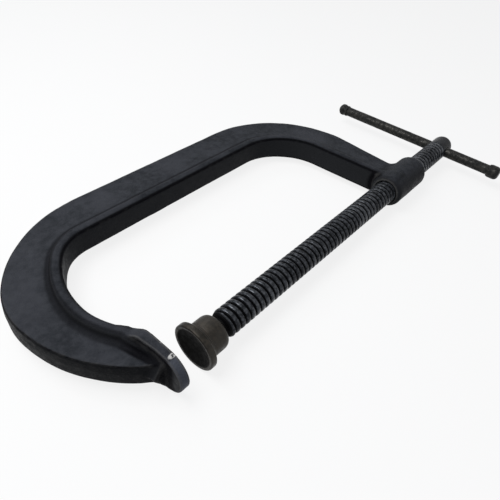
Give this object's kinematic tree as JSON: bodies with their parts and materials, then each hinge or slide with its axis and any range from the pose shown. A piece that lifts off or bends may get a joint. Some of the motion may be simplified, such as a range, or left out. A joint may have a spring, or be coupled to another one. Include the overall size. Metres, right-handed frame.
{
  "type": "c clamp",
  "caption": "Forged C clamp with ribbed frame, threaded spindle, swivel pad and sliding cross handle for holding work while gluing or fastening.",
  "frame": {"origin": "centre of the anvil's flat face, on the spindle's axis", "axes": "+X along the spindle from the anvil to the handle, +Y from the spindle to the frame's spine, +Z normal to the plane of the C"},
  "size_m": [0.4073, 0.218, 0.0318],
  "materials": {
    "forged_frame": "satin black enamel over drop-forged steel, fine orange-peel texture, worn on the edges",
    "spindle_steel": "dark oiled black-oxide steel, bright on the crests of the rolled thread",
    "pad_steel": "turned steel with brown-black oxide, soft sheen",
    "ring_wire": "bright drawn spring wire",
    "handle_steel": "mottled grey-brown steel bar with rubbed bright patches"
  },
  "bodies": {
    "frame": {"frame": "forged_frame"},
    "ring": {"pad_ring": "ring_wire"},
    "spindle": {"spindle": "spindle_steel"},
    "pad": {"swivel_pad": "pad_steel"},
    "handle": {"handle_bar": "handle_steel", "cap_spine_side": "handle_steel", "cap_open_side": "handle_steel"}
  },
  "joints": [
    {"name": "screw_travel", "type": "slide", "parent": "frame", "child": "ring", "axis": [1, 0, 0], "range_m": [-0.0132, 0.1951]},
    {"name": "screw_turn", "type": "hinge", "parent": "ring", "child": "spindle", "pos_m": [0.1, 0, 0], "axis": [1, 0, 0], "range_deg": [-1028, 15190]},
    {"name": "pad_tilt", "type": "hinge", "parent": "ring", "child": "pad", "pos_m": [0.026, 0, 0], "axis": [0, 0, 1], "range_deg": [-6, 6]},
    {"name": "handle_slide", "type": "slide", "parent": "spindle", "child": "handle", "axis": [0, 1, 0], "range_m": [-0.0945, 0.0405]}
  ],
  "couplings": [
    {"joint": "screw_travel", "follows": "screw_turn", "m_per_rad": 0.0007353}
  ]
}
